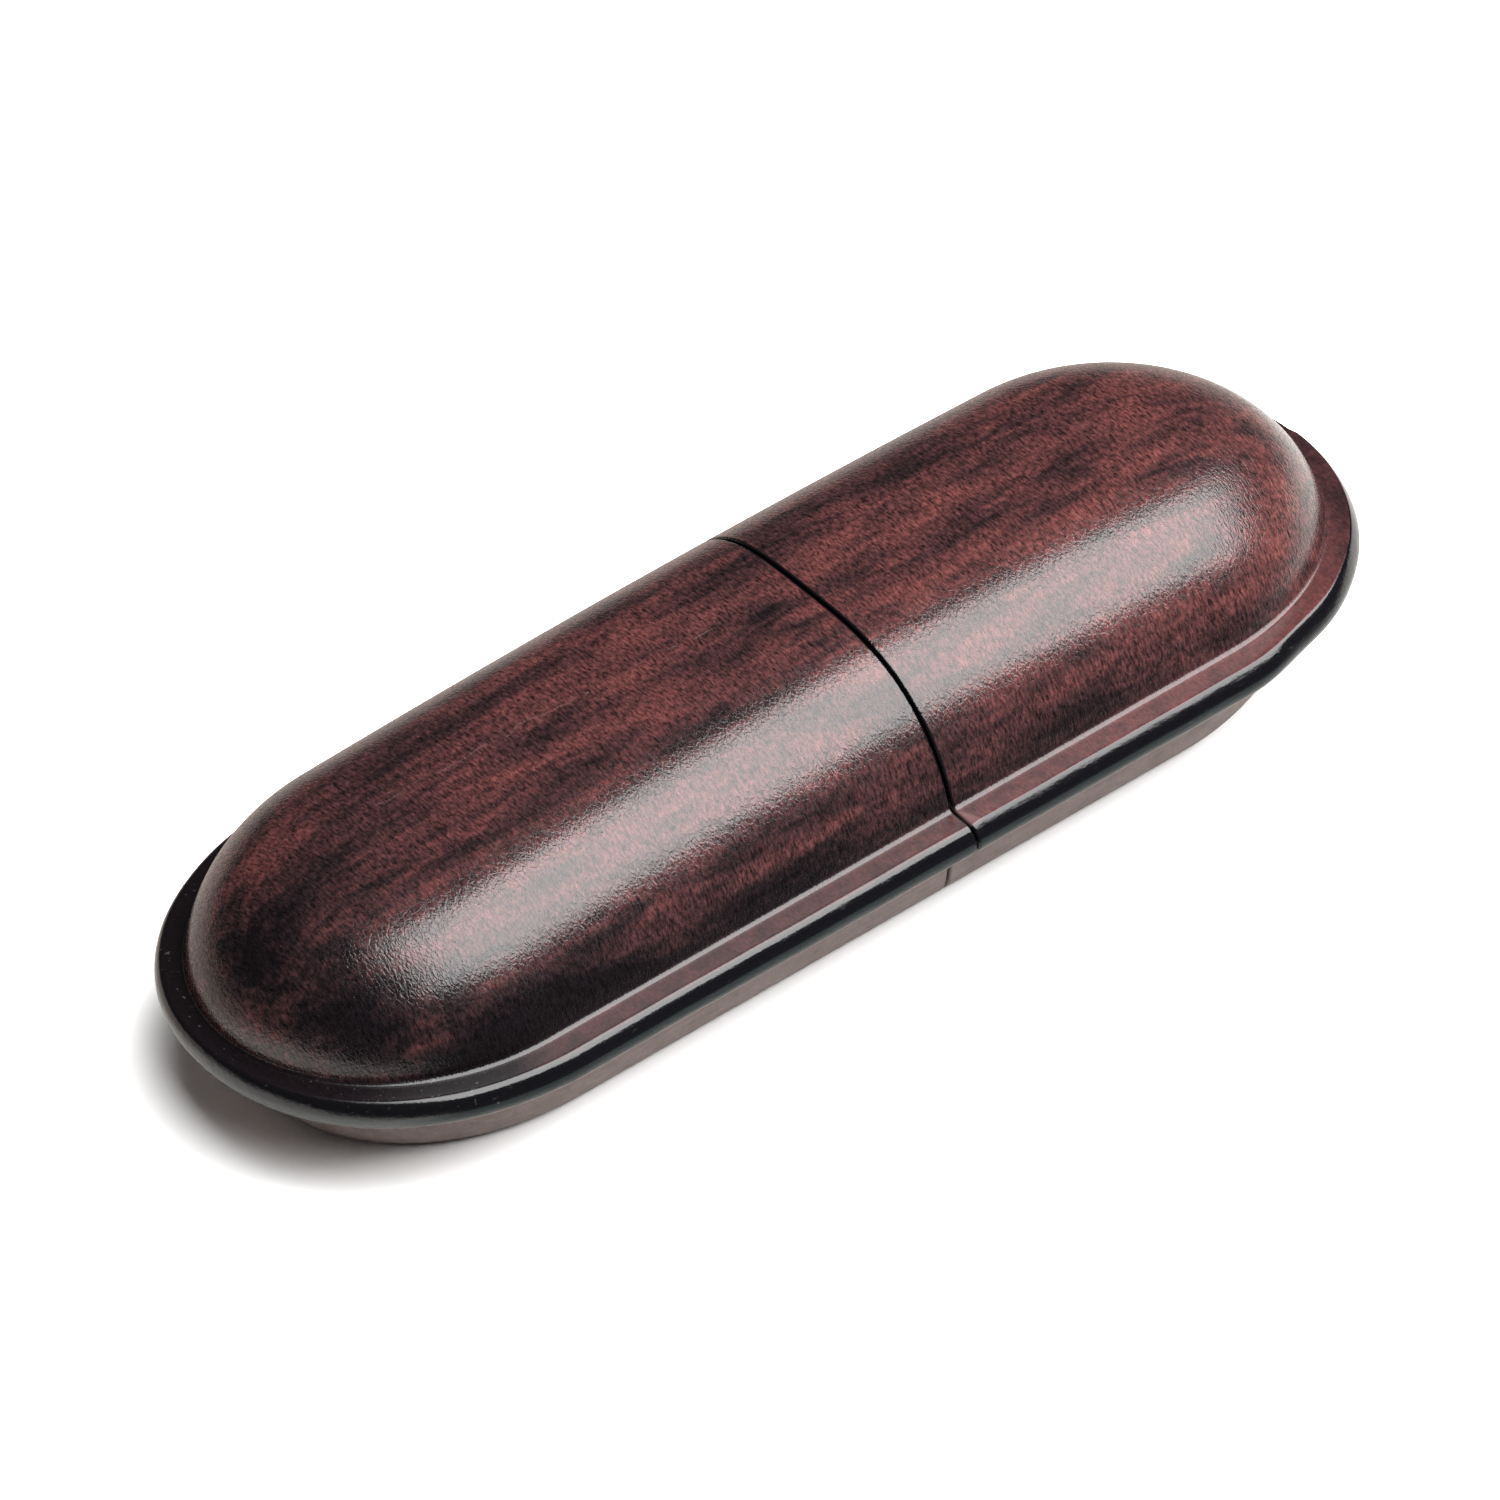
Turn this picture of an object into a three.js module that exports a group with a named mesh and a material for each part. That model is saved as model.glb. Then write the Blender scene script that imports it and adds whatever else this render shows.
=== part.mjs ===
// Moulded leather pen case: two round-ended halves that pull apart over an inner sleeve.
//
// Each half is an upper shell and a lower shell of wet-moulded hide, glued flange to flange.
// The left half, the body, holds a thin moulded sleeve that stands out of its mouth.
// The right half, the cap, slides over the sleeve along +X. Suede lines both halves.
// Millimetres. +X runs along the case to the cap's end, +Z is up, Z = 0 is the flat underside.

import * as THREE from 'three';
import { mergeVertices } from 'three/addons/utils/BufferGeometryUtils.js';

// Rim: the two glued flanges, seen from above.
const RIM_LENGTH = 167.4;
const RIM_HALF_WIDTH = 31.5;
const RIM_END = 34.4; // length of the half ellipse that rounds each end
const RIM_END_POWER = 2.1; // above 2, the end is a little squarer than an ellipse
const LAYER = 2.25; // one flange
const EDGE_INSET = 1.6; // how far the burnished edge rounds back at its top and bottom

// Dome of the upper shells.
const CREASE_HALF_WIDTH = 26.4; // where the walls leave the flanges
const DOME_LENGTH = 160.6;
const DOME_END_RATIO = 1.083; // end ellipse length over its half width
const DOME_HEIGHT = 18.4; // above the flange
const DOME_BELLY = 3.25; // the higher, the squarer the shoulders
const DOME_TOP = 1.675; // the lower, the rounder the top
const DOME_CROWN = 0.2; // share of the height lost 80 mm from the middle
const CROWN_REACH = 80;

// Pan of the lower shells.
const PAN_LENGTH = 154.6;
const PAN_END_RATIO = 1.22;
const PAN_DEPTH = 12.5; // below the flange
const PAN_BASE_HALF_WIDTH = 24.4; // where wall and underside would meet without their round
const PAN_CORNER = 6;

// Walls and fits.
const WALL = 2.2;
const CREASE_FILLET = 1;
const SLEEVE_CLEARANCE = 0.25;
const SLEEVE_WALL = 1.4;
const GLUE = 0.1;
const LINING = 0.6;

// Places along the case.
const SEAM_X = 9;
const SEAM_GAP = 0.4;
const SLEEVE_REACH = 24; // how far the sleeve stands past the seam
const LINING_SETBACK = 1; // from the sleeve's lip to the cap's lining
const RIM_TOP = PAN_DEPTH + 2 * LAYER;
const GLUE_PLANE = PAN_DEPTH + LAYER;

// Facets.
const DOME_STEPS = 8;
const CORNER_STEPS = 4;
const FILLET_STEPS = 2;
const EDGE_STEPS = 3;
const STRAIGHT_STEPS = 3;
const END_STEPS = 14;

const HALF_TURN = Math.PI;
const QUARTER_TURN = Math.PI / 2;

function steps(count, make) {
  return Array.from({ length: count + 1 }, (_, k) => make(k / count));
}

// Section curves run from the centreline (w = 0) out to the crease, as points [w, z], where w is
// the half width. Each takes an inset, so that shells, sleeve and lining nest with even gaps.

function domeSection(inset) {
  const point = (t) => {
    const w = Math.sin(t * QUARTER_TURN);
    const z = (1 - w ** DOME_BELLY) ** (1 / DOME_TOP);
    return [CREASE_HALF_WIDTH * w, RIM_TOP + DOME_HEIGHT * z];
  };
  const nudge = 1e-3;
  return steps(DOME_STEPS, (t) => {
    const [w, z] = point(t);
    const [w0, z0] = point(Math.max(t - nudge, 0));
    const [w1, z1] = point(Math.min(t + nudge, 1));
    const length = Math.hypot(w1 - w0, z1 - z0);
    const normal = t === 0 ? [0, 1] : t === 1 ? [1, 0] : [(z0 - z1) / length, (w1 - w0) / length];
    return [w - inset * normal[0], z - inset * normal[1]];
  });
}

function panSection(inset) {
  const centre = [PAN_BASE_HALF_WIDTH - PAN_CORNER, PAN_CORNER];
  const toCrease = [CREASE_HALF_WIDTH - centre[0], PAN_DEPTH - centre[1]];
  const draft = Math.acos(PAN_CORNER / Math.hypot(...toCrease)) - Math.atan2(toCrease[1], toCrease[0]);
  const radius = PAN_CORNER - inset;
  const corner = steps(CORNER_STEPS, (t) => {
    const angle = THREE.MathUtils.lerp(QUARTER_TURN, draft, t);
    return [centre[0] + radius * Math.cos(angle), centre[1] - radius * Math.sin(angle)];
  });
  const crease = [CREASE_HALF_WIDTH - inset * Math.cos(draft), PAN_DEPTH + inset * Math.sin(draft)];
  return [[0, inset], ...corner, crease];
}

// Flange from the crease fillet to the middle of the burnished edge. side is 1 above the glue
// plane and -1 below it.
function flangeSection(side) {
  const face = GLUE_PLANE + side * LAYER;
  const fillet = steps(FILLET_STEPS, (t) => {
    const angle = t * QUARTER_TURN;
    const w = CREASE_HALF_WIDTH + CREASE_FILLET * (1 - Math.cos(angle));
    return [w, face + side * CREASE_FILLET * (1 - Math.sin(angle))];
  });
  const edge = steps(EDGE_STEPS, (t) => {
    const angle = t * QUARTER_TURN;
    const w = RIM_HALF_WIDTH - EDGE_INSET * (1 - Math.sin(angle));
    return [w, GLUE_PLANE + side * LAYER * Math.cos(angle)];
  });
  return [...fillet, ...edge];
}

// Plan of the ring at half width w: how far its end reaches, and how long and how square the
// end's round is.
function planOf(upper, w) {
  const length = upper ? DOME_LENGTH : PAN_LENGTH;
  const ratio = upper ? DOME_END_RATIO : PAN_END_RATIO;
  const shrink = upper ? DOME_END_RATIO : 1;
  const over = Math.max(0, (w - CREASE_HALF_WIDTH) / (RIM_HALF_WIDTH - CREASE_HALF_WIDTH));
  const inner = Math.min(w, CREASE_HALF_WIDTH);
  return {
    tip: THREE.MathUtils.lerp(length / 2 - shrink * (CREASE_HALF_WIDTH - inner), RIM_LENGTH / 2, over),
    round: THREE.MathUtils.lerp(ratio * inner, RIM_END, over),
    power: THREE.MathUtils.lerp(2, RIM_END_POWER, over),
  };
}

// The dome falls gently from the middle of the case to its ends.
function crowned(x, z) {
  const rise = Math.max(0, z - RIM_TOP);
  return z - rise * DOME_CROWN * (x / CROWN_REACH) ** 2;
}

// Stations run round the half's U-shaped plan: near side, round end, far side.
function stationsOf() {
  const straight = steps(STRAIGHT_STEPS, (t) => ({ along: t, angle: 0 }));
  const end = steps(END_STEPS, (t) => ({ along: 1, angle: t * HALF_TURN }));
  const back = straight.map(({ along }) => ({ along, angle: HALF_TURN }));
  return [...straight, ...end.slice(1, -1), ...back.reverse()];
}

function place(station, w, z, upper, direction, mouth) {
  const { tip, round, power } = planOf(upper, w);
  const straightEnd = direction * (tip - round);
  const sine = Math.sin(station.angle) ** (2 / power);
  const cosine = Math.cos(station.angle);
  const x = THREE.MathUtils.lerp(mouth, straightEnd, station.along) + direction * round * sine;
  const y = -w * Math.sign(cosine) * Math.abs(cosine) ** (2 / power);
  return [x, y, crowned(x, z)];
}

// Sweeps a closed section, which starts and ends on the centreline, round the plan, and closes
// the mouth with the section itself.
function sweep(section, upper, direction, mouth) {
  const rings = stationsOf().map((station) => (
    section.map(([w, z]) => place(station, w, z, upper, direction, mouth))));
  const count = section.length;
  const positions = rings.flat(2);
  const triangles = [];
  for (let i = 0; i < rings.length - 1; i += 1) {
    for (let j = 0; j < count - 1; j += 1) {
      const a = i * count + j;
      const b = a + count;
      triangles.push([a, a + 1, b], [b, a + 1, b + 1]);
    }
  }
  const last = (rings.length - 1) * count;
  const outline = section.map(([w, z]) => new THREE.Vector2(w, z));
  const clockwise = THREE.ShapeUtils.isClockWise(outline);
  for (const face of THREE.ShapeUtils.triangulateShape(outline, [])) {
    const [a, b, c] = clockwise ? face : face.reverse();
    triangles.push([a, b, c], [last + a, last + c, last + b]);
  }
  return solidGeometry(positions, triangles);
}

function solidGeometry(positions, triangles) {
  const loose = new THREE.BufferGeometry();
  loose.setAttribute('position', new THREE.Float32BufferAttribute(positions, 3));
  loose.setIndex(triangles.flat());
  const welded = mergeVertices(loose, 1e-4);
  const index = welded.getIndex().array;
  const kept = [];
  for (let k = 0; k < index.length; k += 3) {
    const [a, b, c] = index.slice(k, k + 3);
    if (a !== b && b !== c && c !== a) kept.push(a, b, c);
  }
  welded.setIndex(kept);
  if (signedVolume(welded) < 0) welded.setIndex(kept.reverse());
  welded.computeVertexNormals();
  return welded;
}

function signedVolume(geometry) {
  const points = geometry.getAttribute('position');
  const index = geometry.getIndex().array;
  const [p, q, r] = [new THREE.Vector3(), new THREE.Vector3(), new THREE.Vector3()];
  let volume = 0;
  for (let k = 0; k < index.length; k += 3) {
    p.fromBufferAttribute(points, index[k]);
    q.fromBufferAttribute(points, index[k + 1]);
    r.fromBufferAttribute(points, index[k + 2]);
    volume += p.dot(q.cross(r)) / 6;
  }
  return volume;
}

function curve(upper, inset) {
  return upper ? domeSection(inset) : panSection(inset);
}

// Outer shell: dome or pan, crease, flange and burnished edge, then the glue plane and the inside.
function shell(upper, direction) {
  const side = upper ? 1 : -1;
  const mouth = SEAM_X + direction * SEAM_GAP / 2;
  const outside = curve(upper, 0).slice(0, -1);
  const inside = curve(upper, WALL).reverse();
  const section = [...outside, ...flangeSection(side), [inside[0][0], GLUE_PLANE], ...inside];
  return sweep(section, upper, direction, mouth);
}

// Thin moulded tray with a plain lip at the glue plane: half of the sleeve, or of a lining.
function tray(upper, direction, mouth, inset, thickness) {
  const lip = GLUE_PLANE + (upper ? GLUE : -GLUE) / 2;
  const outside = curve(upper, inset);
  const inside = curve(upper, inset + thickness).reverse();
  const section = [...outside, [outside.at(-1)[0], lip], [inside[0][0], lip], ...inside];
  return sweep(section, upper, direction, mouth);
}

function leather(color, roughness) {
  return new THREE.MeshStandardMaterial({ color, roughness, metalness: 0 });
}

const hide = () => leather(0x5a2a28, 0.3);
const sleeveHide = () => leather(0x2a1a18, 0.5);
const suede = () => leather(0x8a6a4c, 0.9);

const part = new THREE.Group();

function add(name, geometry, material) {
  const mesh = new THREE.Mesh(geometry, material);
  mesh.name = name;
  part.add(mesh);
}

const BODY = -1;
const CAP = 1;
const sleeveMouth = SEAM_X + SLEEVE_REACH;
const sleeveInset = WALL + SLEEVE_CLEARANCE;
const bodyLiningInset = sleeveInset + SLEEVE_WALL + GLUE;
const capLiningInset = WALL + GLUE;
const capLiningMouth = sleeveMouth + LINING_SETBACK;

for (const upper of [true, false]) {
  const level = upper ? 'upper' : 'lower';
  add(`body_${level}_shell`, shell(upper, BODY), hide());
  add(`cap_${level}_shell`, shell(upper, CAP), hide());
  add(`sleeve_${level}`, tray(upper, BODY, sleeveMouth, sleeveInset, SLEEVE_WALL), sleeveHide());
  add(`body_${level}_lining`, tray(upper, BODY, sleeveMouth, bodyLiningInset, LINING), suede());
  add(`cap_${level}_lining`, tray(upper, CAP, capLiningMouth, capLiningInset, LINING), suede());
}

export default part;
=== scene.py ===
import math

import bmesh
import bpy
import numpy as np
from mathutils import Matrix, Vector


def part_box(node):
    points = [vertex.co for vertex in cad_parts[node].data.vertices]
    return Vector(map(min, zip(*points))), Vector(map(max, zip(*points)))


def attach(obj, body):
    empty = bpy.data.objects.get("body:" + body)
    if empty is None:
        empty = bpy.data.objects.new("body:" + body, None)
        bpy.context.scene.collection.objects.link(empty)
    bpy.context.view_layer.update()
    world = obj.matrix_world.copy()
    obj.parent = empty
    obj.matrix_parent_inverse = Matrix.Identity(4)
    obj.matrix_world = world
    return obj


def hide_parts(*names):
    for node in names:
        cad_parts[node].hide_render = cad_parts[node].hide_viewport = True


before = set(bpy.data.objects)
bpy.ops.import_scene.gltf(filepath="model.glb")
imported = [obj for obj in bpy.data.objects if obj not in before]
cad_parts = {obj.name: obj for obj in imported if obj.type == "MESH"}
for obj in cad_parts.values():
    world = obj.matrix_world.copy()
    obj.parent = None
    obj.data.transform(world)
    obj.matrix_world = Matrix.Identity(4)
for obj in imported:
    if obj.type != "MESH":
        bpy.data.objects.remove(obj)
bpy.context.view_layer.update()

MM = 0.001
BODY, CAP = -1, 1

# The case, in millimetres, from the frame's own boxes.
BODY_BOX = [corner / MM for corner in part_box("body_upper_shell")]
CAP_BOX = [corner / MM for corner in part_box("cap_upper_shell")]
SLEEVE_BOX = [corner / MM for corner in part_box("sleeve_upper")]
CAP_LINING_BOX = [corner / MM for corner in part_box("cap_upper_lining")]

RIM_LENGTH = CAP_BOX[1].x - BODY_BOX[0].x
RIM_HALF_WIDTH = BODY_BOX[1].y
GLUE_PLANE = BODY_BOX[0].z
BODY_MOUTH = BODY_BOX[1].x
CAP_MOUTH = CAP_BOX[0].x
SLEEVE_MOUTH = SLEEVE_BOX[1].x
CAP_LINING_MOUTH = CAP_LINING_BOX[0].x

# What the boxes don't say: the CAD source's own design values.
LAYER = 2.25
RIM_END, RIM_END_POWER = 34.4, 2.1
EDGE_INSET = 1.6
CREASE_HALF_WIDTH = 26.4
DOME_LENGTH, DOME_END_RATIO = 160.6, 1.083
DOME_BELLY, DOME_TOP = 3.25, 1.675
DOME_CROWN, CROWN_REACH = 0.2, 80
PAN_LENGTH, PAN_END_RATIO = 154.6, 1.22
PAN_BASE_HALF_WIDTH, PAN_CORNER = 24.4, 6
WALL, CREASE_FILLET = 2.2, 1.0
SLEEVE_CLEARANCE, SLEEVE_WALL = 0.25, 1.4
GLUE, LINING = 0.1, 0.6
PAN_DEPTH = GLUE_PLANE - LAYER
RIM_TOP = GLUE_PLANE + LAYER
DOME_HEIGHT = BODY_BOX[1].z - RIM_TOP

# What only the looks have.
LIP_ROUND = 0.25
LIP_STEPS = (0.0, 0.1, 0.3, 0.6, 1.0)  # rings round the lip, as shares of LIP_ROUND
WORN_REACH, WORN_SLOPE, WORN_FADE = 2.3, 0.14, 0.25  # the rubbed corner of the cap's flange
WORN_STEPS = (0.25, 0.5, 0.8, 1.1, 1.4, 1.7, 2.0, 2.3)  # rings over that corner, past the lip
BODY_ROUND, CAP_ROUND = 0.35, 0.20  # the round's share of the flange's slicked edge
EDGE_SLOPE_END = 0.8
EDGE_FACING = (90, 72, 38, 18, 0)  # degrees up: at the top, into the round, past it, low, upright
SHARP_ANGLE = math.radians(38)
# Where the knife cut inside the line: depth, place along the case and reach, in mm.
NEAR_CUTS = ((0.5, 61, 5), (0.1, 47, 4), (0.12, -38, 9))
FAR_CUTS = ((0.5, 78, 14), (0.32, -66, 14), (0.05, 20, 20))


# ---------------------------------------------------------------- section curves, centre outwards

def dome_section(inset, count=44):
    fine = np.linspace(0, 1, 6001)
    w = np.sin(fine * math.pi / 2)
    z = np.maximum(1 - w ** DOME_BELLY, 0) ** (1 / DOME_TOP)
    w, z = CREASE_HALF_WIDTH * w, RIM_TOP + DOME_HEIGHT * z
    dw, dz = np.gradient(w), np.gradient(z)
    length = np.hypot(dw, dz)
    nw, nz = -dz / length, dw / length
    nw[0], nz[0], nw[-1], nz[-1] = 0, 1, 1, 0
    t = np.linspace(0, 1, count + 1)
    return np.stack([np.interp(t, fine, w - inset * nw), np.interp(t, fine, z - inset * nz)], 1)


def pan_section(inset, corner_steps=12, wall_steps=8, base_steps=10):
    cw, cz = PAN_BASE_HALF_WIDTH - PAN_CORNER, PAN_CORNER
    to_w, to_z = CREASE_HALF_WIDTH - cw, PAN_DEPTH - cz
    draft = math.acos(PAN_CORNER / math.hypot(to_w, to_z)) - math.atan2(to_z, to_w)
    radius = PAN_CORNER - inset
    base = [(cw * k / base_steps, inset) for k in range(base_steps)]
    angles = np.linspace(math.pi / 2, draft, corner_steps + 1)
    corner = [(cw + radius * math.cos(a), cz - radius * math.sin(a)) for a in angles]
    crease = np.array([
        CREASE_HALF_WIDTH - inset * math.cos(draft), PAN_DEPTH + inset * math.sin(draft),
    ])
    foot = np.array(corner[-1])
    wall = [tuple(foot + (crease - foot) * k / wall_steps) for k in range(1, wall_steps + 1)]
    return np.array(base + corner + wall)


def curve(upper, inset):
    return dome_section(inset) if upper else pan_section(inset)


def slicked_edge(corner, steps):
    """The upper layer's edge, outwards and down: a short round, a long slope, then upright.

    corner is the round's share of the run.
    """
    run = np.linspace(0, 1, 601)
    facing_up = np.radians(np.interp(run, [0, 0.06, corner, EDGE_SLOPE_END, 1], EDGE_FACING))
    out, down = np.cumsum(np.sin(facing_up)), np.cumsum(np.cos(facing_up))
    at = np.r_[np.linspace(0, corner, steps // 2), np.linspace(corner, 1, steps // 2 + 2)[1:]]
    out = np.interp(at, run, (out - out[0]) / (out[-1] - out[0]))
    down = np.interp(at, run, (down - down[0]) / (down[-1] - down[0]))
    return np.stack([
        RIM_HALF_WIDTH - EDGE_INSET * (1 - out), GLUE_PLANE + LAYER * (1 - down),
    ], 1)


def flange_section(side, corner, fillet_steps=8, flat_steps=5, edge_steps=16):
    """Fillet, flat and slicked edge, outwards. corner shapes the upper layer's edge only."""
    face = GLUE_PLANE + side * LAYER
    a = np.linspace(0, math.pi / 2, fillet_steps + 1)
    fillet = np.stack([
        CREASE_HALF_WIDTH + CREASE_FILLET * (1 - np.cos(a)),
        face + side * CREASE_FILLET * (1 - np.sin(a)),
    ], 1)
    if side > 0:
        edge = slicked_edge(corner, edge_steps)
    else:
        a = np.linspace(0, math.pi / 2, edge_steps + 1)
        edge = np.stack([
            RIM_HALF_WIDTH - EDGE_INSET * (1 - np.sin(a)), GLUE_PLANE - LAYER * np.cos(a),
        ], 1)
    flat = fillet[-1] + (edge[0] - fillet[-1]) * np.linspace(0, 1, flat_steps + 1)[1:-1, None]
    return fillet, flat, edge


# ---------------------------------------------------------------- sweeping round the plan

def over_flange(w):
    return np.maximum(0, (w - CREASE_HALF_WIDTH) / (RIM_HALF_WIDTH - CREASE_HALF_WIDTH))


def plan_of(upper, w):
    length = DOME_LENGTH if upper else PAN_LENGTH
    ratio = DOME_END_RATIO if upper else PAN_END_RATIO
    shrink = DOME_END_RATIO if upper else 1.0
    over = over_flange(w)
    inner = np.minimum(w, CREASE_HALF_WIDTH)
    tip = length / 2 - shrink * (CREASE_HALF_WIDTH - inner)
    round_ = ratio * inner
    power = 2 + (RIM_END_POWER - 2) * over
    return tip + (RIM_LENGTH / 2 - tip) * over, round_ + (RIM_END - round_) * over, power


def crowned(x, z):
    return z - np.maximum(0, z - RIM_TOP) * DOME_CROWN * (x / CROWN_REACH) ** 2


def trim(x, near):
    """How far the knife cut inside the marked outline, in mm, at x on the near or far side."""
    cut = 0.05 + 0.03 * math.sin(x * 0.21 + 1.0) + 0.02 * math.sin(x * 0.53 + near)
    for depth, centre, reach in NEAR_CUTS if near > 0 else FAR_CUTS:
        cut += depth * math.exp(-((x - centre) / reach) ** 2)
    return cut


def stations(straight=36, end=80, first=3):
    """(share of the way along the straight side, angle round the end) from near lip to far lip.

    The first few are left out, because the lip and the worn corner have rings of their own.
    """
    side = [(k / straight, 0.0) for k in range(first, straight + 1)]
    arc = [(1.0, math.pi * k / end) for k in range(1, end)]
    return side + arc + [(along, math.pi) for along, _ in reversed(side)]


def section_normals(section, turn):
    d = np.gradient(section, axis=0)
    length = np.maximum(np.hypot(d[:, 0], d[:, 1]), 1e-9)
    normals = np.stack([-d[:, 1], d[:, 0]], 1) / length[:, None] * turn
    normals[np.abs(section[:, 1] - GLUE_PLANE) < GLUE, 1] = 0
    normals[section[:, 0] < 1e-6, 0] = 0
    return normals


def sweep(name, section, upper, direction, mouth, masks, lip, trimmed=False):
    """A closed section carried round the half's plan. masks: name -> value per section point."""
    normals = section_normals(section, 1 if upper else -1)
    over = over_flange(section[:, 0])
    rings, lip_distance, worn = [], [], []

    def ring(along, angle, offset=0.0, inset=0.0):
        w = np.maximum(section[:, 0] - inset * normals[:, 0], 0)
        z = section[:, 1] - inset * normals[:, 1]
        tip, round_, power = plan_of(upper, w)
        straight_end = direction * (tip - round_)
        start = mouth + direction * offset
        sine, cosine = max(math.sin(angle), 0.0), math.cos(angle)
        x = start + (straight_end - start) * along + direction * round_ * sine ** (2 / power)
        y = -w * np.sign(cosine) * abs(cosine) ** (2 / power)
        if trimmed:
            cut = trim(float(x[np.argmax(w)]), 1 if cosine > 0 else -1) * over
            x = x - direction * cut * sine
            y = y + cut * cosine
        rubbed = np.zeros(len(x))
        if trimmed and upper and direction == CAP and cosine > 0:
            rubbed = np.clip(over * WORN_REACH - np.abs(x - mouth), 0, None)
            z = z - WORN_SLOPE * rubbed * np.clip((z - GLUE_PLANE) / LAYER, 0, 1)
        rings.append(np.stack([x, y, crowned(x, z)], 1))
        lip_distance.append(np.abs(x - mouth))
        worn.append(np.clip(rubbed / WORN_FADE, 0, 1))

    offsets = [lip * step for step in LIP_STEPS]
    rounds = [(d, lip - math.sqrt(max(lip ** 2 - (lip - d) ** 2, 0))) for d in offsets]
    rounds += [(lip + step, 0.0) for step in WORN_STEPS]
    for offset, inset in rounds:
        ring(0, 0.0, offset, inset)
    for along, angle in stations():
        ring(along, angle)
    for offset, inset in reversed(rounds):
        ring(0, math.pi, offset, inset)

    count, rows = len(section), len(rings)
    faces = [
        (i * count + j, i * count + j + 1, (i + 1) * count + j + 1, (i + 1) * count + j)
        for i in range(rows - 1) for j in range(count - 1)
    ]
    last = (rows - 1) * count
    faces += [tuple(range(count - 1, -1, -1)), tuple(range(last, last + count))]
    mesh = bpy.data.meshes.new(name)
    mesh.from_pydata((np.concatenate(rings) * MM).tolist(), [], faces)
    masks = {mask: np.tile(values, rows) for mask, values in masks.items()}
    masks["lip"], masks["worn"] = np.concatenate(lip_distance), np.concatenate(worn)
    for mask, values in masks.items():
        layer = mesh.attributes.new(mask, "FLOAT", "POINT")
        layer.data.foreach_set("value", values.astype(np.float32))
    weld(mesh)
    mesh.polygons.foreach_set("use_smooth", [True] * len(mesh.polygons))
    mesh.set_sharp_from_angle(angle=SHARP_ANGLE)
    obj = bpy.data.objects.new(name, mesh)
    bpy.context.scene.collection.objects.link(obj)
    return obj


def weld(mesh):
    """Joins the points that meet on the centreline and drops the faces that vanish there."""
    bm = bmesh.new()
    bm.from_mesh(mesh)
    bmesh.ops.remove_doubles(bm, verts=bm.verts, dist=1e-7)
    bmesh.ops.dissolve_degenerate(bm, dist=1e-8, edges=bm.edges)
    bmesh.ops.recalc_face_normals(bm, faces=bm.faces)
    bm.to_mesh(mesh)
    bm.free()


def shell(name, upper, direction, mouth):
    outside = curve(upper, 0.0)
    start = CREASE_FILLET * 1.05
    if upper:
        outside = outside[outside[:, 1] > RIM_TOP + start]
    else:
        outside = outside[outside[:, 1] < PAN_DEPTH - start]
    corner = BODY_ROUND if direction == BODY else CAP_ROUND
    fillet, flat, edge = flange_section(1 if upper else -1, corner)
    inside = curve(upper, WALL)[::-1]
    glue = np.array([[inside[0, 0], GLUE_PLANE]])
    parts = [outside, fillet, flat, edge, glue, inside]

    def mask(*values):
        return np.concatenate([np.broadcast_to(v, (len(p),)) for v, p in zip(values, parts)])

    masks = {
        "flange": mask(0, np.linspace(0, 1, len(fillet)), 1, 1, 0, 0),
        "edge": mask(0, 0, 0, np.linspace(0, 1, len(edge)), 1, 0),
        "flesh": mask(0, 0, 0, 0, 1, 1),
    }
    section = np.concatenate(parts)
    return sweep(name, section, upper, direction, mouth, masks, LIP_ROUND, trimmed=True)


def tray(name, upper, direction, mouth, inset, thickness):
    lip_z = GLUE_PLANE + (GLUE if upper else -GLUE) / 2
    outside = curve(upper, inset)
    inside = curve(upper, inset + thickness)[::-1]
    rim = np.array([[outside[-1, 0], lip_z], [inside[0, 0], lip_z]])
    section = np.concatenate([outside, rim, inside])
    masks = {"flesh": np.r_[np.zeros(len(outside) + 1), np.ones(len(inside) + 1)]}
    return sweep(name, section, upper, direction, mouth, masks, min(LIP_ROUND, thickness / 3))


def on_dome(x, around):
    """A point of the dome's outside: around is -1 at the far crease, 0 on top, 1 at the near."""
    w = math.sin(abs(around) * math.pi / 2)
    z = DOME_HEIGHT * max(1 - w ** DOME_BELLY, 0) ** (1 / DOME_TOP)
    reach = DOME_LENGTH / 2 - DOME_END_RATIO * CREASE_HALF_WIDTH
    past = min(max(abs(x) - reach, 0) / max(DOME_END_RATIO * CREASE_HALF_WIDTH * w, 1e-6), 1)
    y = -math.copysign(CREASE_HALF_WIDTH * w, around) * math.sqrt(1 - past ** 2)
    return x, y, float(crowned(x, RIM_TOP + z))


# ---------------------------------------------------------------- material graphs

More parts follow.
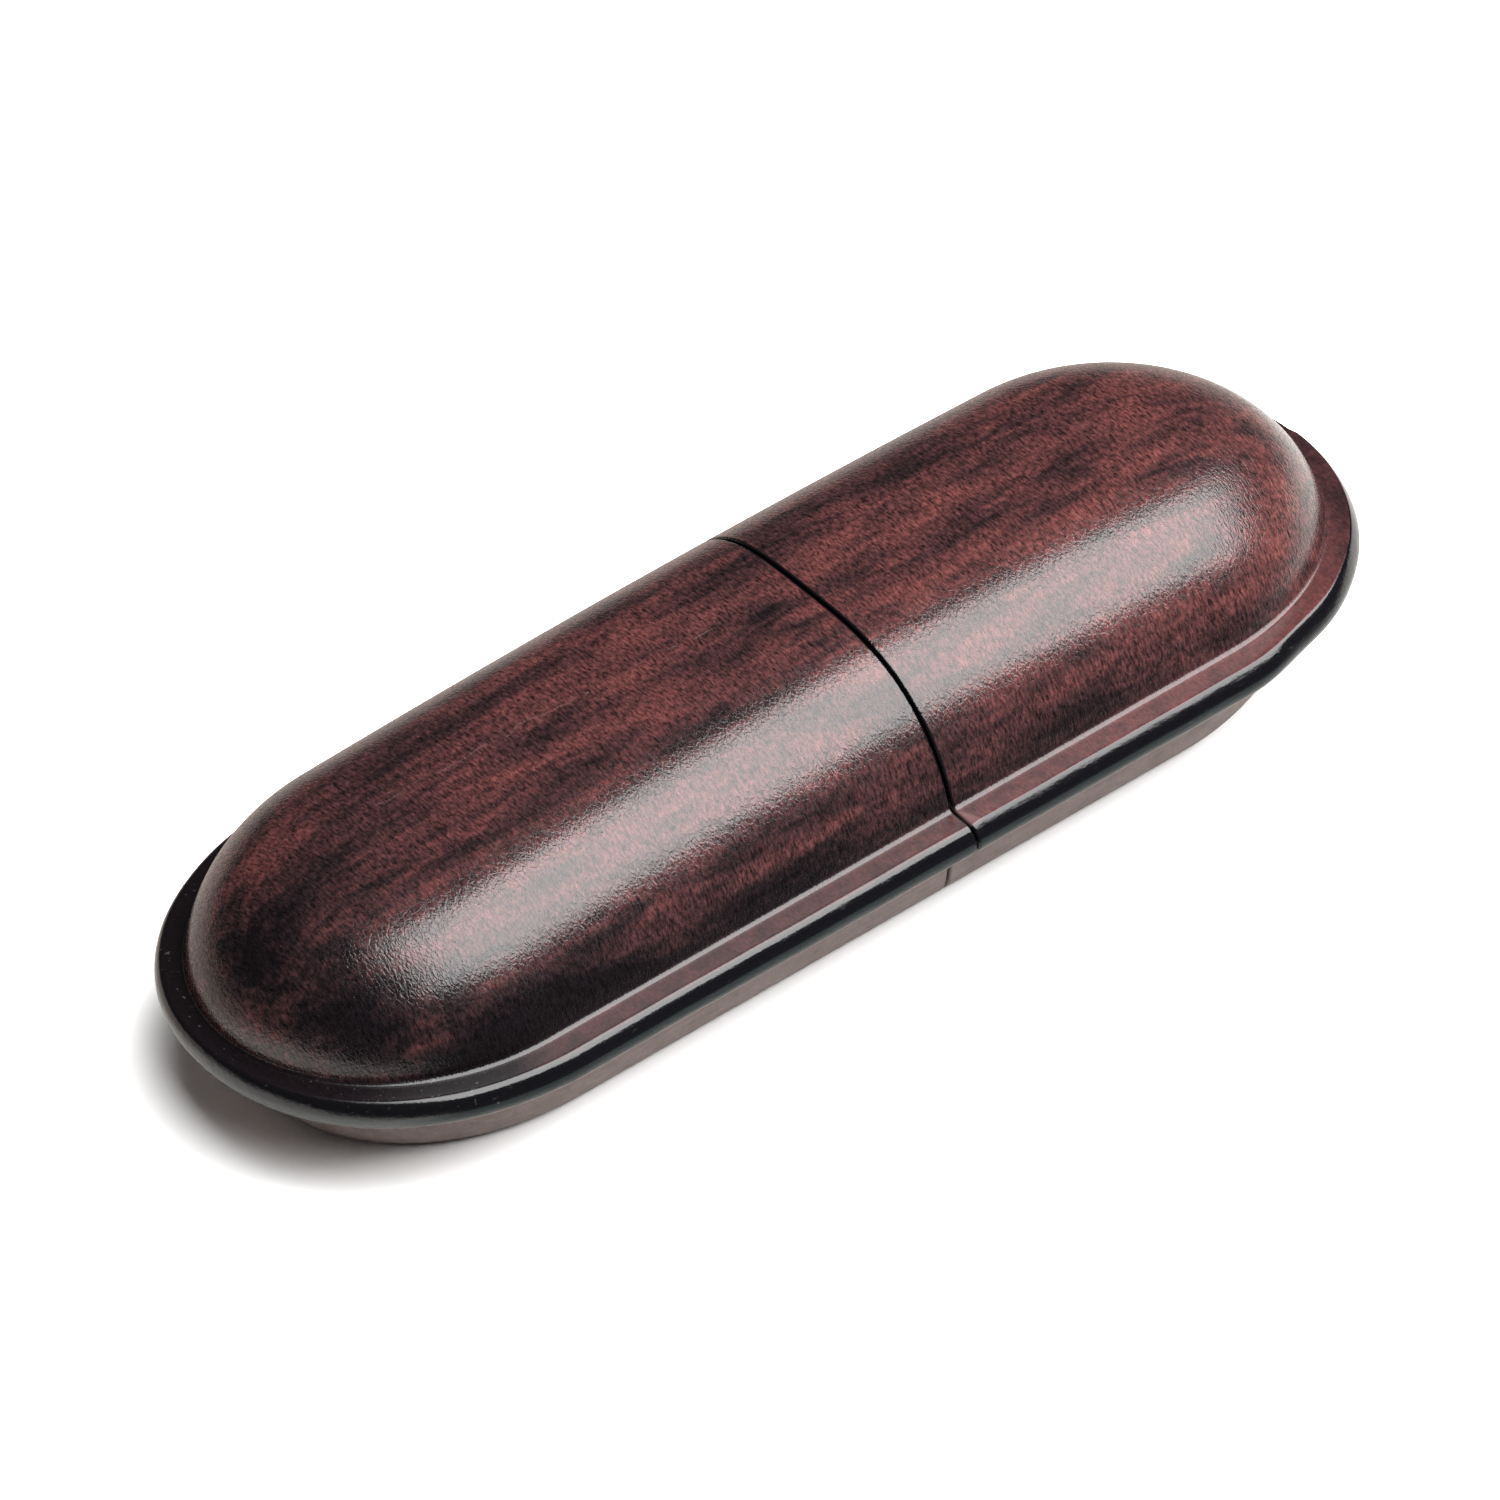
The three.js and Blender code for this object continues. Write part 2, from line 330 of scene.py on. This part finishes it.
class Graph:
    """Builds one node material. Numbers and sockets can stand for any input."""

    def __init__(self, name):
        self.material = bpy.data.materials.new(name)
        self.material.use_nodes = True
        self.tree = self.material.node_tree
        self.tree.nodes.clear()
        self.where = self.node("ShaderNodeTexCoord").outputs["Object"]
        self.shaken = None

    def node(self, kind, inputs=None, **settings):
        made = self.tree.nodes.new(kind)
        for key, value in settings.items():
            setattr(made, key, value)
        for key, value in (inputs or {}).items():
            self.set(made.inputs[key], value)
        return made

    def set(self, socket, value):
        if isinstance(value, bpy.types.NodeSocket):
            self.tree.links.new(value, socket)
        elif isinstance(value, (tuple, list)) and len(value) == 3 and socket.type == "RGBA":
            socket.default_value = (*value, 1)
        else:
            socket.default_value = value

    def vector(self, operation, inputs):
        return self.node("ShaderNodeVectorMath", inputs, operation=operation).outputs

    def math(self, operation, *inputs):
        return self.node(
            "ShaderNodeMath", dict(enumerate(inputs)), operation=operation,
        ).outputs[0]

    def invert(self, value):
        return self.math("SUBTRACT", 1.0, value)

    def add(self, *terms):
        """Sum of (socket, weight) pairs."""
        total = self.math("MULTIPLY", *terms[0])
        for socket, weight in terms[1:]:
            total = self.math("MULTIPLY_ADD", socket, weight, total)
        return total

    def remap(self, value, low, high, to_low=0.0, to_high=1.0, smooth=True):
        return self.node("ShaderNodeMapRange", {
            "Value": value, "From Min": low, "From Max": high, "To Min": to_low, "To Max": to_high,
        }, interpolation_type="SMOOTHSTEP" if smooth else "LINEAR").outputs["Result"]

    def blend(self, share, a, b):
        """Mix of two values."""
        made = self.node("ShaderNodeMix", data_type="FLOAT")
        for index, value in ((0, share), (2, a), (3, b)):
            self.set(made.inputs[index], value)
        return made.outputs[0]

    def mix(self, share, a, b, blend="MIX"):
        """Mix of two colours."""
        made = self.node("ShaderNodeMix", data_type="RGBA", blend_type=blend)
        for index, value in ((0, share), (6, a), (7, b)):
            self.set(made.inputs[index], value)
        return made.outputs[2]

    def ramp(self, value, *stops):
        made = self.node("ShaderNodeValToRGB", {"Fac": value})
        elements = made.color_ramp.elements
        while len(elements) < len(stops):
            elements.new(0.5)
        for element, (at, colour) in zip(elements, stops):
            element.position, element.color = at, (*colour, 1)
        return made.outputs["Color"]

    def attribute(self, name):
        return self.node("ShaderNodeAttribute", attribute_name=name).outputs["Fac"]

    def place(self, scale, offset=(0, 0, 0)):
        """Coordinates fixed to the piece, in millimetres times scale."""
        return self.node("ShaderNodeMapping", {
            "Vector": self.where, "Scale": [s / MM for s in scale], "Location": offset,
        }).outputs[0]

    def axis(self, letter):
        """Millimetres from the frame's origin along X, Y or Z."""
        return self.node("ShaderNodeSeparateXYZ", {0: self.place((1, 1, 1))}).outputs[letter]

    def noise(self, scale, detail=3.0, roughness=0.5, distortion=0.0, offset=(0, 0, 0)):
        return self.node("ShaderNodeTexNoise", {
            "Vector": self.place(scale, offset), "Scale": 1.0, "Detail": detail,
            "Roughness": roughness, "Distortion": distortion,
        }).outputs["Fac"]

    def smudge(self, centre, reach):
        """1 at the centre, falling smoothly to 0 at an ellipsoid of that reach, all in mm."""
        scale = [1 / r for r in reach]
        where = self.place(scale, [-c / r for c, r in zip(centre, reach)])
        return self.remap(self.vector("LENGTH", {0: where})["Value"], 1.0, 0.0)

    def wavered(self):
        """Coordinates in mm, shifted about by up to 1.1 mm, so that scratches aren't straight."""
        if self.shaken is None:
            shift = self.node("ShaderNodeTexNoise", {
                "Vector": self.place([0.22] * 3), "Scale": 1.0, "Detail": 3.0,
            }).outputs["Color"]
            self.shaken = self.vector("MULTIPLY_ADD", {
                0: shift, 1: (2.2, 2.2, 2.2), 2: self.place((1, 1, 1), (-1.1, -1.1, -1.1)),
            })[0]
        return self.shaken

    def scratch(self, start, end, width):
        """1 on the line from start to end, 0 beyond its width, all in mm."""
        a, b = Vector(start), Vector(end)
        along = (b - a).normalized()
        length = (b - a).length
        offset = self.vector("SUBTRACT", {0: self.wavered(), 1: a})[0]
        dot = self.vector("DOT_PRODUCT", {0: offset, 1: along})["Value"]
        inside = self.math("MINIMUM", self.math("MAXIMUM", dot, 0.0), length)
        foot = self.vector("SCALE", {0: along, "Scale": inside})[0]
        away = self.vector("DISTANCE", {0: offset, 1: foot})["Value"]
        return self.remap(away, width, width * 0.3)

    def bump(self, height, depth, normal=None):
        inputs = {"Height": height, "Distance": depth * MM, "Strength": 1.0}
        if normal is not None:
            inputs["Normal"] = normal
        return self.node("ShaderNodeBump", inputs).outputs[0]

    def pebbles(self, size, reach=(1.0, 1.0, 1.0), low=0.02, high=0.34):
        """Leather grain: 0 in the creases between cells, 1 on the cells."""
        warp = self.node("ShaderNodeTexNoise", {
            "Vector": self.place([0.8 / size] * 3), "Scale": 1.0, "Detail": 1.0,
        }).outputs["Color"]
        where = self.place([r / size for r in reach])
        shifted = self.vector("MULTIPLY_ADD", {0: warp, 1: (1.1, 1.1, 1.1), 2: where})[0]
        cells = self.node("ShaderNodeTexVoronoi", {
            "Vector": shifted, "Scale": 1.0, "Randomness": 1.0,
        }, feature="DISTANCE_TO_EDGE")
        return self.remap(cells.outputs["Distance"], low, high)

    def finish(self, colour, roughness, normal=None, **settings):
        shader = self.node("ShaderNodeBsdfPrincipled", {
            "Base Color": colour, "Roughness": roughness, **settings,
        })
        if normal is not None:
            self.set(shader.inputs["Normal"], normal)
        out = self.node("ShaderNodeOutputMaterial")
        self.tree.links.new(shader.outputs[0], out.inputs["Surface"])
        return self.material


# Where the dyer's black pooled (+) or was rubbed back to red (-): x along the case, how far
# round the dome from its top (1 at the near crease), reach along and across in mm, strength.
DYE_MARKS = [
    (-72, 0.70, 13, 10, 0.26), (-58, 0.94, 28, 8, 0.30), (-20, 0.99, 46, 7, 0.24),
    (-76, 0.48, 9, 11, 0.22), (-62, 0.64, 8, 5, 0.14), (-66, 0.30, 10, 7, 0.14),
    (-36, -0.29, 18, 5, 0.07), (-1, -0.24, 10, 5, 0.07), (3, 0.00, 5, 3, 0.16),
    (4, 0.16, 4, 4, 0.07), (-30, 0.00, 13, 4, 0.06), (-26, 0.18, 9, 4, 0.06),
    (-17, 0.28, 14, 4, 0.05), (-46, 0.22, 12, 6, 0.05), (30, 0.98, 34, 6, 0.15),
    (32, -0.24, 14, 4, 0.07), (47, 0.08, 6, 4, 0.09), (16, -0.32, 12, 4, 0.05),
    (62, 0.42, 10, 6, 0.06), (34, 0.24, 24, 6, -0.08), (22, -0.06, 20, 6, -0.06),
    (-48, 0.84, 22, 8, 0.13), (26, 0.45, 34, 8, -0.05), (50, 0.72, 22, 9, -0.03),
    (-38, 0.10, 18, 5, -0.05), (-14, 0.10, 12, 5, -0.05), (-30, 0.45, 34, 7, -0.04),
    (66, 0.62, 12, 8, -0.04),
]

# Ends on the dome, as above, and width in mm.
SCRATCHES = [
    ((-54, -0.20), (-48, -0.13), 0.10), ((-52, -0.12), (-28, -0.09), 0.25),
    ((-28, -0.09), (-4, -0.04), 0.22), ((-66, 0.50), (-59, 0.43), 0.10),
    ((-12, 0.44), (-11.2, 0.52), 0.14), ((-36, 0.37), (-34, 0.42), 0.12),
    ((40, 0.30), (44, 0.22), 0.08),
]


# Linear colours. The dye's run from pooled black to rubbed red, by the level of the dye noise.
DYE_RAMP = (
    (0.33, (0.0044, 0.0029, 0.0038)), (0.43, (0.0125, 0.0066, 0.0076)),
    (0.52, (0.033, 0.0130, 0.0137)), (0.61, (0.064, 0.0212, 0.0205)),
    (0.72, (0.100, 0.0305, 0.0275)),
)
# The flange's grey is a painted sheen.
FLANGE_SHEEN_GREY = (0.060, 0.040, 0.042)
# The lower shell's colours carry a painted pale reflection of the floor.
PAN_SHEEN_DARK, PAN_SHEEN_PALE = (0.100, 0.071, 0.066), (0.195, 0.152, 0.143)
# The edge: black dye, a slate that is a painted reflection of the floor, scuffs, and a pale
# painted highlight line.
EDGE_BLACK, EDGE_FLOOR_SHEEN = (0.0030, 0.0028, 0.0038), (0.015, 0.019, 0.020)
EDGE_SCUFF, EDGE_GLINT = (0.045, 0.045, 0.046), (0.27, 0.225, 0.215)
SPECK = (0.11, 0.085, 0.088)
MOUTH_BLACK = (0.0030, 0.0028, 0.0036)
CORNER_RUBBED = (0.13, 0.070, 0.068)
FLESH_DARK, FLESH_PALE = (0.070, 0.036, 0.022), (0.140, 0.080, 0.050)
SCRATCH_PALE = (0.20, 0.13, 0.12)
SLEEVE_DARK, SLEEVE_BROWN = (0.012, 0.007, 0.0065), (0.036, 0.017, 0.014)
SLEEVE_RUBBED = (0.07, 0.036, 0.028)
SUEDE_DARK, SUEDE_PALE = (0.13, 0.080, 0.047), (0.27, 0.18, 0.115)
SUEDE_DRAGGED = (0.10, 0.060, 0.036)


def polished_hide():
    g = Graph("polished_hide")
    edge, flange, flesh, lip, worn = (
        g.attribute(name) for name in ("edge", "flange", "flesh", "lip", "worn")
    )
    height, along = g.axis("Z"), g.axis("X")
    below = g.remap(height, GLUE_PLANE + 0.15, GLUE_PLANE - 0.15)
    flange = g.math("MAXIMUM", flange, g.remap(height, RIM_TOP + 0.5, RIM_TOP))
    ends = g.math(
        "MAXIMUM", g.remap(along, -50, -66, 0, 0.30), g.remap(along, 66, 80, 0, 0.12),
    )
    cells = g.pebbles(0.6, (1.2, 0.6, 0.6), 0.0, 0.26)
    strokes = g.remap(g.noise([3.1, 1.05, 1.05], 2, 0.6, 0.4), 0.28, 0.72, smooth=False)
    fine = g.noise([2.8, 1.9, 1.9], 3, 0.6)
    mottle = g.noise([0.35, 0.35, 0.35], 4, 0.6, 0.4, offset=(1, 1, 6))
    rough_edge = g.noise([0.25, 0.9, 0.9], 5, 0.65, offset=(2, 8, 1))

    # The dye on the dome: streaks along the case, clouds, fibres, and the dyer's marks.
    streak = g.noise([0.07, 0.32, 0.32], 5, 0.6, 0.5)
    cloud = g.noise([0.035, 0.075, 0.075], 2, 0.5, 0.3, offset=(3.1, 7.7, 1.9))
    fibre = g.noise([0.30, 0.9, 0.9], 3, 0.6, 0.3, offset=(9.0, 2.0, 4.0))
    marks = [
        (g.smudge(on_dome(x, around), (reach, across, across)), -strength)
        for x, around, reach, across, strength in DYE_MARKS
    ]
    dye = g.add((streak, 0.56), (cloud, 0.22), (fibre, 0.13), (strokes, 0.04), *marks)
    dye = g.add((g.remap(along, -20, 60, smooth=False), 0.03), (dye, 1.0))
    dye = g.math("ADD", dye, 0.058)

    # On the flange it is more even and black round the ends, with a painted grey sheen that grows
    # towards the body.
    redder = g.remap(along, -30, 50)
    flat_dye = g.add((mottle, 0.34), (fine, 0.18), (redder, 0.10), (ends, -1.0))
    flat_dye = g.math("ADD", flat_dye, 0.265)
    colour = g.ramp(g.blend(flange, dye, flat_dye), *DYE_RAMP)
    # Grain relief painted into the colour: dye pooled in the creases, with painted shade in them
    # and painted light on the ridges, less on the flange.
    shade = g.add((strokes, 1.6), (cells, 0.30))
    shade = g.blend(g.math("MULTIPLY", flange, 0.6), shade, 1.0)
    colour = g.mix(1.0, colour, shade, "MULTIPLY")
    # Painted grey sheen on the flange, stronger towards the body and kept off the black ends.
    painted_sheen = g.math("MULTIPLY", flange, g.remap(along, 40, -20, 0.10, 0.22))
    painted_sheen = g.math("MULTIPLY", painted_sheen, g.remap(ends, 0.15, 0.0))
    colour = g.mix(painted_sheen, colour, FLANGE_SHEEN_GREY)

    # The lower shell: the hide's tone with a painted pale reflection of the floor over it.
    rows = g.noise([0.10, 1.1, 1.1], 4, 0.6, 0.4, offset=(0, 5, 0))
    tone = g.add((rows, 0.30), (fine, 0.35), (mottle, 0.35))
    pan_and_floor_sheen = g.mix(g.remap(tone, 0.34, 0.66, smooth=False), PAN_SHEEN_DARK, PAN_SHEEN_PALE)
    colour = g.mix(below, colour, pan_and_floor_sheen)

    # The slicked edge: black, with a painted slate reflection of the floor on the lower layer,
    # scuffed, with a painted pale highlight line at the bottom.
    scuffs = g.noise([0.7, 1.6, 1.6], 4, 0.65)
    outwards = g.add((edge, 1.0), (scuffs, 0.22), (rough_edge, 0.12))
    slicked = g.remap(outwards, g.blend(below, 0.34, 0.70), g.blend(below, 0.44, 0.76))
    # Painted reflection of the floor: slate on the lower layer's edge.
    lower_edge_sheen = g.remap(height, GLUE_PLANE + 0.45, GLUE_PLANE + 0.10)
    dressing_and_sheen = g.mix(lower_edge_sheen, EDGE_BLACK, EDGE_FLOOR_SHEEN)
    dressing_and_sheen = g.mix(g.remap(rough_edge, 0.62, 0.75, 0, 0.5), dressing_and_sheen, EDGE_SCUFF)
    colour = g.mix(slicked, colour, dressing_and_sheen)
    # Painted highlight: a pale line where the slicked edge meets the lower shell.
    glint_line = g.math("MULTIPLY", g.math("MULTIPLY", slicked, g.invert(slicked)), 1.4)
    colour = g.mix(g.math("MULTIPLY", glint_line, below), colour, EDGE_GLINT)
    specks = g.remap(g.noise([1.5, 1.5, 1.5], 3, 0.6, offset=(4, 4, 9)), 0.66, 0.72)
    at_ends = g.math("MULTIPLY", flange, g.remap(ends, 0.1, 0.3, 0, 0.5))
    colour = g.mix(g.math("MULTIPLY", specks, at_ends), colour, SPECK)

    # The mouth's black lip, the cap's rubbed corner beside it, and the raw flesh side within.
    mouth = g.math("MULTIPLY", g.remap(lip, 0.42, 0.16), g.remap(below, 0.0, 1.0, 1.0, 0.25))
    colour = g.mix(mouth, colour, MOUTH_BLACK)
    rubbed = g.math("MULTIPLY", worn, g.remap(edge, 0.30, 0.15))
    colour = g.mix(g.math("MULTIPLY", rubbed, 0.8), colour, CORNER_RUBBED)
    raw = g.mix(g.noise([1.2, 1.2, 1.2], 4, 0.6), FLESH_DARK, FLESH_PALE)
    colour = g.mix(g.math("MULTIPLY", flesh, g.remap(lip, 0.05, 1.2)), colour, raw)

    scratches = None
    for start, end, width in SCRATCHES:
        line = g.scratch(on_dome(*start), on_dome(*end), width)
        scratches = line if scratches is None else g.math("MAXIMUM", scratches, line)
    scratches = g.math("MULTIPLY", scratches, g.remap(fine, 0.3, 0.6))
    colour = g.mix(g.math("MULTIPLY", scratches, 0.2), colour, SCRATCH_PALE)

    rough = g.remap(strokes, 0.0, 1.0, 0.18, 0.11, smooth=False)
    rough = g.blend(g.remap(cells, 0.0, 0.4, 0.7, 0.0), rough, 0.40)
    rough = g.blend(flange, rough, 0.22)
    rough = g.blend(g.math("MAXIMUM", slicked, mouth), rough, 0.13)
    rough = g.blend(g.math("MULTIPLY", below, g.invert(slicked)), rough, 0.35)
    rough = g.blend(flesh, rough, 0.9)

    grained = g.invert(g.math("MULTIPLY", g.math("MAXIMUM", flange, below), 0.85))
    relief = g.math("MULTIPLY", g.add((cells, 0.40), (strokes, 0.60)), grained)
    normal = g.bump(relief, 0.029)
    normal = g.bump(g.noise([0.11, 0.11, 0.11], 2, 0.5), 0.07, normal)
    normal = g.bump(g.math("MULTIPLY", rough_edge, edge), 0.10, normal)
    normal = g.bump(scratches, -0.03, normal)
    return g.finish(colour, rough, normal)


def sleeve_hide():
    g = Graph("sleeve_hide")
    flesh = g.attribute("flesh")
    colour = g.mix(g.noise([0.12, 0.3, 0.3], 4, 0.55), SLEEVE_DARK, SLEEVE_BROWN)
    rub = g.remap(g.noise([0.05, 1.4, 1.4], 3, 0.6), 0.5, 0.75, 0.0, 0.35)
    colour = g.mix(rub, colour, SLEEVE_RUBBED)
    rough = g.blend(flesh, g.remap(rub, 0.0, 0.35, 0.40, 0.30, smooth=False), 0.85)
    return g.finish(colour, rough, g.bump(g.pebbles(0.55), 0.012))


def suede():
    g = Graph("suede")
    colour = g.mix(g.noise([1.1, 1.1, 1.1], 6, 0.7), SUEDE_DARK, SUEDE_PALE)
    drag = g.noise([0.09, 0.14, 0.14], 3, 0.5, 0.5)
    colour = g.mix(g.remap(drag, 0.35, 0.7, 0.0, 0.45), colour, SUEDE_DRAGGED)
    normal = g.bump(g.noise([3.2, 3.2, 3.2], 4, 0.7), 0.06)
    return g.finish(colour, 0.95, normal, **{"Sheen Weight": 0.3})


# ---------------------------------------------------------------- the pieces

def add(obj, material, body, node):
    obj.data.materials.append(material)
    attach(obj, body)
    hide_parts(node)


def build_case():
    hide, sleeve, nap = polished_hide(), sleeve_hide(), suede()
    sleeve_inset = WALL + SLEEVE_CLEARANCE
    lining_inset = sleeve_inset + SLEEVE_WALL + GLUE
    for upper in (True, False):
        level = "upper" if upper else "lower"
        for body, direction, mouth in (("body", BODY, BODY_MOUTH), ("cap", CAP, CAP_MOUTH)):
            node = f"{body}_{level}_shell"
            piece = shell(f"{node}_hide", upper, direction, mouth)
            add(piece, hide, body, node)
        node = f"sleeve_{level}"
        piece = tray(f"{node}_hide", upper, BODY, SLEEVE_MOUTH, sleeve_inset, SLEEVE_WALL)
        add(piece, sleeve, "body", node)
        node = f"body_{level}_lining"
        piece = tray(f"{node}_suede", upper, BODY, SLEEVE_MOUTH, lining_inset, LINING)
        add(piece, nap, "body", node)
        node = f"cap_{level}_lining"
        piece = tray(f"{node}_suede", upper, CAP, CAP_LINING_MOUTH, WALL + GLUE, LINING)
        add(piece, nap, "cap", node)


# ---------------------------------------------------------------- studio

VIEW_TURN = math.radians(33.1)
VIEW_DOWN = math.radians(40.9)
VIEW_ROLL = math.radians(-6.4)
VIEW_DISTANCE = 2909 * MM
FOCAL_RATIO = 16.086  # focal length over picture width
AIM_ALONG, AIM_RIGHT, AIM_UP = -0.15 * MM, -0.95 * MM, -1.56 * MM
SENSOR = 36.0

KEY_TOWARD, KEY_LONG_SIDE = (0.324, -0.370, 0.872), (0.945, 0.047, -0.324)
KEY_DISTANCE, KEY_SIZE, KEY_POWER = 1.0, (1.46, 1.08), 42
WORLD_LIGHT, WORLD_SEEN = 0.045, 1.0
FLOOR_SIDE = 4.0
FLOOR_LIGHT, FLOOR_SEEN = (0.86, 0.86, 0.85), (1.25, 1.25, 1.24)
# What the case's gloss finds on the floor: dark in front of it, pale beside it, brown behind.
GLOSS_FRONT, GLOSS_BESIDE, GLOSS_BEHIND = (0.03,) * 3, (0.72, 0.70, 0.66), (0.34, 0.29, 0.265)


def camera():
    right = Vector((math.cos(VIEW_TURN), -math.sin(VIEW_TURN), 0))
    ahead = Vector((math.sin(VIEW_TURN), math.cos(VIEW_TURN), 0))
    up = Vector((0, 0, 1))
    look = math.cos(VIEW_DOWN) * ahead - math.sin(VIEW_DOWN) * up
    above = math.sin(VIEW_DOWN) * ahead + math.cos(VIEW_DOWN) * up
    x_axis = math.cos(VIEW_ROLL) * right + math.sin(VIEW_ROLL) * above
    y_axis = -math.sin(VIEW_ROLL) * right + math.cos(VIEW_ROLL) * above
    data = bpy.data.cameras.new("camera")
    data.sensor_width = SENSOR
    data.lens = SENSOR * FOCAL_RATIO
    data.clip_start, data.clip_end = 0.1, 20
    obj = bpy.data.objects.new("camera", data)
    target = Vector((AIM_ALONG, 0, RIM_TOP * MM)) + AIM_RIGHT * x_axis + AIM_UP * y_axis
    turn = Matrix((x_axis, y_axis, -look)).transposed()
    obj.matrix_world = Matrix.Translation(target - VIEW_DISTANCE * look) @ turn.to_4x4()
    bpy.context.scene.collection.objects.link(obj)
    bpy.context.scene.camera = obj


def softbox(name, toward, long_side, distance, size, power):
    """A rectangular light in that direction from the case, its first size along long_side."""
    data = bpy.data.lights.new(name, "AREA")
    data.shape = "RECTANGLE"
    data.size, data.size_y = size
    data.energy = power
    obj = bpy.data.objects.new(name, data)
    toward = Vector(toward).normalized()
    x_axis = Vector(long_side)
    x_axis = (x_axis - x_axis.dot(toward) * toward).normalized()
    turn = Matrix((x_axis, toward.cross(x_axis), toward)).transposed()
    obj.matrix_world = Matrix.Translation(toward * distance) @ turn.to_4x4()
    obj.visible_camera = False
    bpy.context.scene.collection.objects.link(obj)


def floor():
    mesh = bpy.data.meshes.new("floor")
    side = FLOOR_SIDE
    corners = [(-side, -side, 0), (side, -side, 0), (side, side, 0), (-side, side, 0)]
    mesh.from_pydata(corners, [], [(0, 1, 2, 3)])
    g = Graph("floor")
    ray = g.node("ShaderNodeLightPath").outputs
    along, across = g.axis("X"), g.axis("Y")
    beyond = g.math(
        "MAXIMUM", g.remap(along, -66, -96, 0, 45), g.remap(along, 75, 110, 0, 25),
    )
    backwards = g.remap(g.math("ADD", across, beyond), -52, -4)
    mirrored = g.ramp(backwards, (0, GLOSS_FRONT), (1, GLOSS_BESIDE))
    mirrored = g.mix(g.remap(across, 25, 55), mirrored, GLOSS_BEHIND)
    paper = g.mix(ray["Is Glossy Ray"], FLOOR_LIGHT, mirrored)
    paper = g.mix(ray["Is Camera Ray"], paper, FLOOR_SEEN)
    mesh.materials.append(g.finish(paper, 1.0, **{"Specular IOR Level": 0.0}))
    obj = bpy.data.objects.new("floor", mesh)
    bpy.context.scene.collection.objects.link(obj)


def studio():
    world = bpy.data.worlds.new("studio")
    world.use_nodes = True
    tree = world.node_tree
    shade = tree.nodes["Background"]
    path = tree.nodes.new("ShaderNodeLightPath")
    level = tree.nodes.new("ShaderNodeMapRange")
    level.inputs["To Min"].default_value = WORLD_LIGHT
    level.inputs["To Max"].default_value = WORLD_SEEN
    tree.links.new(path.outputs["Is Camera Ray"], level.inputs["Value"])
    tree.links.new(level.outputs["Result"], shade.inputs["Strength"])
    shade.inputs["Color"].default_value = (1, 1, 1, 1)
    bpy.context.scene.world = world
    bpy.context.scene.view_settings.view_transform = "Standard"
    softbox("key", KEY_TOWARD, KEY_LONG_SIDE, KEY_DISTANCE, KEY_SIZE, KEY_POWER)


camera()
studio()
floor()
build_case()
